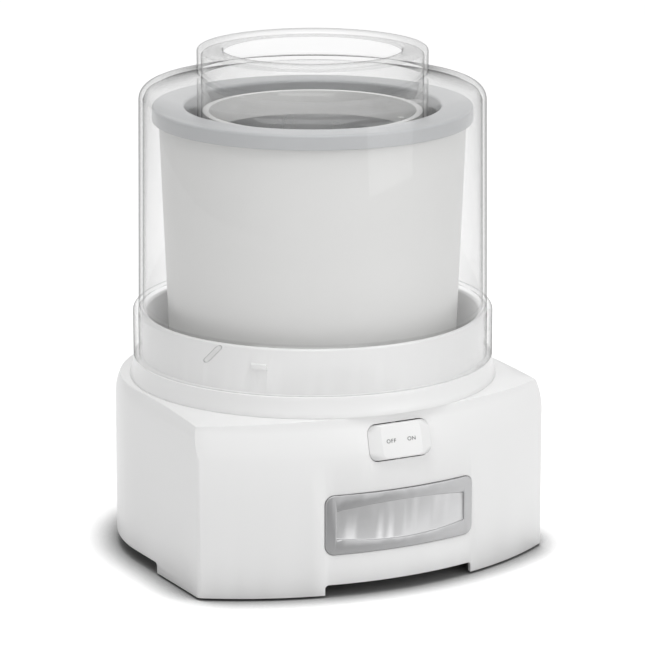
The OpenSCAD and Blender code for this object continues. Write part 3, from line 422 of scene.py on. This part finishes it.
# ---------- Switch ----------
# A rocker of white ABS snaps into a black body behind the shoulder. The words on it are printed
# in dark grey, with the pressed end lower than the raised one.
softened("switch_rocker", "switch_rocker_moulding", "rocker", white_gloss, 0.0005, steps=3)
switch_at = Vector((-0.002, -0.104714, 0.08525))
switch_lean = radians(15.945)
rocker_tilt = radians(-4)
pivot_deep = 0.0047
rocker_out = 0.004
rocker_place = (
    Matrix.Translation(switch_at)
    @ Matrix.Rotation(pi / 2 - switch_lean, 4, "X")
    @ Matrix.Translation((0, 0, -pivot_deep))
    @ Matrix.Rotation(rocker_tilt, 4, "Y")
    @ Matrix.Translation((0, 0, pivot_deep + rocker_out))
)
grey_print = plastic("grey printing ink", (0.03, 0.03, 0.032), 0.6, clouds=0.15)
for word, along in (("OFF", -0.0064), ("ON", 0.0058)):
    drawn = bpy.data.curves.new("word_" + word, "FONT")
    drawn.body = word
    drawn.align_x = "CENTER"
    drawn.align_y = "CENTER"
    drawn.size = 0.0031
    drawn.space_character = 1.12
    drawn.extrude = 0.00003
    stand = bpy.data.objects.new("word_" + word, drawn)
    bpy.context.scene.collection.objects.link(stand)
    bpy.context.view_layer.update()
    printed = bpy.data.meshes.new_from_object(stand.evaluated_get(bpy.context.evaluated_depsgraph_get()))
    bpy.data.objects.remove(stand)
    bpy.data.curves.remove(drawn)
    printed.transform(rocker_place @ Matrix.Translation((along, 0, 0.00003)))
    printed.materials.clear()
    printed.materials.append(grey_print)
    words = bpy.data.objects.new("printed_" + word, printed)
    bpy.context.scene.collection.objects.link(words)
    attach(words, "rocker")

black_nylon = plastic("black nylon", (0.028, 0.028, 0.03), 0.45, clouds=0.15)
finish_node(black_nylon, "switch_body", "cooling_fan")
brass = metal("tinned brass", (0.7, 0.55, 0.28), 0.32)
finish_node(brass, "switch_terminals")

# ---------- Cord gland and wires ----------
# The gland is the bush in the back wall that a mains lead goes in by. Three insulated wires run
# from it to the switch and the motor.
finish_node(white_satin, "cord_gland")
wire_pvc = plastic("wire insulation", (0.035, 0.035, 0.038), 0.38, clouds=0.1)
finish_node(wire_pvc, "internal_wires")

# ---------- Gearbox ----------
# A tray and a cover of filled nylon hold the gear train. Turned pins carry the compound gears,
# and sintered bronze bushes carry the drive gear and its hub.
natural_nylon = plastic("natural nylon", (0.72, 0.68, 0.58), 0.42, clouds=0.06)
finish_node(natural_nylon, "gearbox_housing", "gearbox_cover")
bronze = metal("sintered bronze", (0.55, 0.36, 0.19), 0.42)
finish_node(bronze, "lower_bush", "hub_bush", "motor_bearings")
gear_acetal = plastic("gear acetal", (0.78, 0.77, 0.72), 0.34, clouds=0.03)
finish_node(gear_acetal, "drive_gear", "second_gear", "first_gear", "motor_pinion", "drive_hub")

# ---------- Motor ----------
# Stamped laminations with two wound coils, a cast rotor on its shaft, and pressed brackets that
# carry the bearings.
lamination = metal("lamination steel", (0.34, 0.35, 0.37), 0.4, along=(1.0, 1.0, 12.0))
finish_node(lamination, "motor_stator", "motor_rotor")
copper = metal("enamelled copper", (0.72, 0.31, 0.14), 0.3, along=(0.2, 0.2, 6.0))
finish_node(copper, "motor_coils")
finish_node(steel, "upper_motor_bracket", "lower_motor_bracket")

# ---------- Freezer bowl ----------
# Two walls with freezing gel between them: a satin white shell outside, a spun aluminium liner
# inside, and a silver-grey rim moulding that clips over both.
mm = 0.001
turn_steps = 192


def lathed(name, body, material, outline, sharp=32.0):
    """A closed outline of (radius, height) in mm, turned about the bowl's axis."""
    work = bmesh.new()
    ring = [work.verts.new((r * mm, 0, z * mm)) for r, z in outline]
    edges = [work.edges.new((ring[i], ring[(i + 1) % len(ring)])) for i in range(len(ring))]
    bmesh.ops.spin(
        work,
        geom=ring + edges,
        cent=(0, 0, 0),
        axis=(0, 0, 1),
        angle=2 * pi,
        steps=turn_steps,
        use_merge=True,
    )
    bmesh.ops.remove_doubles(work, verts=work.verts, dist=0.0000005)
    bmesh.ops.recalc_face_normals(work, faces=work.faces)
    for face in work.faces:
        face.smooth = True
    for edge in work.edges:
        if len(edge.link_faces) == 2 and edge.calc_face_angle(0) > radians(sharp):
            edge.smooth = False
    mesh = bpy.data.meshes.new(name)
    work.to_mesh(mesh)
    work.free()
    mesh.materials.append(material)
    piece = bpy.data.objects.new(name, mesh)
    bpy.context.scene.collection.objects.link(piece)
    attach(piece, body)
    return piece


def arc(r, z, radius, start, end, count):
    """Points of an arc in an outline, angles in degrees."""
    return [
        (
            r + radius * cos(radians(start + (end - start) * i / count)),
            z + radius * sin(radians(start + (end - start) * i / count)),
        )
        for i in range(count + 1)
    ]


bowl_z = 108.4
rim_z = 254.0
shell_foot = 80.8
shell_top = 86.3
shell_wall = 2.4
shell_lean = (shell_top - shell_foot) / (rim_z - 3 - bowl_z)
shell = lathed(
    "bowl_shell_moulding",
    "bowl",
    white_satin,
    [(shell_foot - 11, bowl_z)]
    + arc(shell_foot - 2, bowl_z + 2, 2, -90, 0, 6)
    + [(shell_top, rim_z - 3), (shell_top - shell_wall, rim_z - 3)]
    + [(shell_foot + 2 * shell_lean - shell_wall, bowl_z + 2), (shell_foot - 11, bowl_z + 2)],
)
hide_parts("bowl_shell")

silver_band = plastic("silver-grey ABS", (0.5, 0.51, 0.52), 0.3, clouds=0.03, coat=0.2)
rim_out = 89.9
rim_in = 71.8
rim_skin = 2.2
rim = lathed(
    "bowl_rim_moulding",
    "bowl",
    silver_band,
    arc(rim_out - 0.6, rim_z - 8.6 + 0.6, 0.6, -45, 0, 3)
    + arc(rim_out - 1.6, rim_z - 1.6, 1.6, 0, 90, 6)
    + arc(rim_in + 1.6, rim_z - 1.6, 1.6, 90, 180, 6)
    + [(rim_in, rim_z - 7), (rim_in + rim_skin, rim_z - 7), (rim_in + rim_skin, rim_z - 2.7)]
    + [(rim_out - rim_skin, rim_z - 2.7), (rim_out - rim_skin, rim_z - 8.6)],
)
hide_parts("bowl_rim")

aluminium = metal("spun aluminium", (0.75, 0.755, 0.76), 0.3, along=(0.5, 0.5, 3.0), wear=0.05)
finish_node(aluminium, "bowl_liner")
finish_node(white_satin, "bowl_base")
gel = plastic("freezing gel", (0.5, 0.66, 0.78), 0.2, clouds=0.2)
finish_node(gel, "freezing_gel")

# ---------- Paddle ----------
# One white moulding that stands still in the turning bowl: a windowed blade on a ring, which
# the lid's inner skirt holds by two keys.
finish_node(white_satin, "mixing_paddle")

# ---------- Lid ----------
# One clear SAN moulding: the ring that locks on the collar, the tall cylinder, the plate and the
# open spout. A clear wall darkens where it is seen edge-on.
clear, bench = new_material("clear SAN")
edge_on = bench.node("LayerWeight", {}, {"Blend": 0.5})["Facing"]
wall_depth = [(0.0, 0.0), (0.78, 0.05), (0.9, 0.41), (1.0, 1.0)]
depth = bench.node("ValToRGB", {"stops": wall_depth}, {"Fac": edge_on})["Color"]
thin_wall = bench.node("BsdfTransparent", {}, {"Color": (0.985, 0.985, 0.985, 1)})["BSDF"]
thick_wall = bench.node("BsdfTransparent", {}, {"Color": (0.05, 0.05, 0.05, 1)})["BSDF"]
see_through = bench.node("MixShader", {}, {0: depth, 1: thin_wall, 2: thick_wall})["Shader"]
place = bench.node("TexCoord")["Object"]
ripple = bench.node("TexNoise", {}, {"Vector": place, "Scale": 25.0, "Detail": 2.0})["Fac"]
bump = bench.node("Bump", {}, {"Height": ripple, "Strength": 0.2, "Distance": 0.0002})["Normal"]
gloss = bench.node(
    "BsdfGlossy", {}, {"Color": (0.85, 0.85, 0.85, 1), "Roughness": 0.04, "Normal": bump}
)["BSDF"]
skim = edge_on**5
shine = skim.least(0.3) * (1 - skim * 0.85) + 0.035
mixed = bench.node("MixShader", {}, {0: shine, 1: see_through, 2: gloss})["Shader"]
rays = bench.node("LightPath")
lets_by = rays["Is Shadow Ray"].most(rays["Is Diffuse Ray"])
unhindered = bench.node("BsdfTransparent", {}, {"Color": (0.99, 0.99, 0.99, 1)})["BSDF"]
lid_clear = bench.node("MixShader", {}, {0: lets_by, 1: mixed, 2: unhindered})["Shader"]
bench.node("OutputMaterial", {}, {"Surface": lid_clear})

ledge_z = 111.2
collar_z = 137.0
ring_r = 101.6
ring_wall = 3.0
lid_z = ledge_z + 0.3
ring_top = collar_z + 3
lid_r = 98.4
lid_top_r = 97.2
lid_wall = 2.3
plate_z = rim_z + 16.7
spout_r = 64.6
spout_top = plate_z + 15.3
mouth_r = 50.1
skirt_low = rim_z - 9
corner_z = plate_z - 5.7
ring_in = ring_r - ring_wall
lid = lathed(
    "lid_moulding",
    "lid",
    clear,
    [(ring_in, lid_z)]
    + arc(ring_r - 0.5, lid_z + 0.5, 0.5, -90, 0, 3)
    + [(ring_r, ring_top - 3.2)]
    + arc(lid_r, ring_top - 3.2, ring_r - lid_r, 15, 90, 5)
    + arc(lid_top_r - 7.7, corner_z - 7.7, 7.7, 0, 90, 10)
    + [(spout_r + 3, plate_z - 0.9), (spout_r + 0.9, plate_z), (spout_r, plate_z + 1.4)]
    + arc(spout_r - 1.5, spout_top - 1.5, 1.5, 0, 90, 4)
    + arc(mouth_r + 1.5, spout_top - 1.5, 1.5, 90, 180, 4)
    + [(mouth_r, spout_top - 3), (spout_r - lid_wall - 1, spout_top - 3)]
    + [(spout_r - lid_wall, spout_top - 4), (spout_r - lid_wall, skirt_low)]
    + [(spout_r, skirt_low), (spout_r, plate_z - lid_wall - 1)]
    + [(lid_top_r - 8.2, corner_z - lid_wall), (lid_top_r - lid_wall - 1.6, corner_z - lid_wall - 2.2)]
    + [(lid_top_r - lid_wall, corner_z - 8)]
    + [(lid_r - lid_wall, ring_top + 1), (lid_r - lid_wall, ring_top - 1), (ring_in, ring_top - 2.4)],
)
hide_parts("lid")

key_size = (10, 11, 6.5)
key_middle_z = skirt_low + 2.25
cutter_mesh = bpy.data.meshes.new("key cutter")
cut = bmesh.new()
for side in (1, -1):
    bmesh.ops.create_cube(
        cut,
        size=1,
        matrix=Matrix.Translation((side * (spout_r - 1) * mm, 0, key_middle_z * mm))
        @ Matrix.Diagonal([length * mm for length in key_size] + [1]),
    )
cut.to_mesh(cutter_mesh)
cut.free()
cutter = bpy.data.objects.new("key cutter", cutter_mesh)
bpy.context.scene.collection.objects.link(cutter)
notches = lid.modifiers.new("key notches", "BOOLEAN")
notches.object = cutter
notches.solver = "EXACT"
bpy.context.view_layer.update()
cut_lid = bpy.data.meshes.new_from_object(lid.evaluated_get(bpy.context.evaluated_depsgraph_get()))
lid.modifiers.clear()
lid.data = cut_lid
lid.data.name = "lid_moulding"
bpy.data.objects.remove(cutter)

rib_mesh = bpy.data.meshes.new("lid_lock_ribs")
ribs = bmesh.new()
rib_inside = 97.4
rib_outside = 100.4
rib_half = 5.5
rib_round = 1.3
rib_z = lid_z + 19.4
first_rib = -151.6
for number in range(3):
    middle = radians(number * 120 + first_rib)
    loops = []
    for radius in (rib_inside, rib_outside):
        loop = []
        for end, start in ((rib_half, -90), (-rib_half, 90)):
            for step in range(9):
                turn = radians(start + step * 22.5)
                across = end + rib_round * cos(turn)
                up = rib_round * sin(turn)
                side = (across - up) * sqrt(0.5)
                high = (across + up) * sqrt(0.5)
                at = middle + side / radius
                spot = (radius * cos(at) * mm, radius * sin(at) * mm, (rib_z + high) * mm)
                loop.append(ribs.verts.new(spot))
        loops.append(loop)
    count = len(loops[0])
    for i in range(count):
        j = (i + 1) % count
        ribs.faces.new((loops[0][i], loops[0][j], loops[1][j], loops[1][i])).smooth = True
    ribs.faces.new(loops[0])
    ribs.faces.new(list(reversed(loops[1])))
bmesh.ops.recalc_face_normals(ribs, faces=ribs.faces)
ribs.to_mesh(rib_mesh)
ribs.free()
rib_mesh.materials.append(clear)
lock_ribs = bpy.data.objects.new("lid_lock_ribs", rib_mesh)
bpy.context.scene.collection.objects.link(lock_ribs)
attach(lock_ribs, "lid")
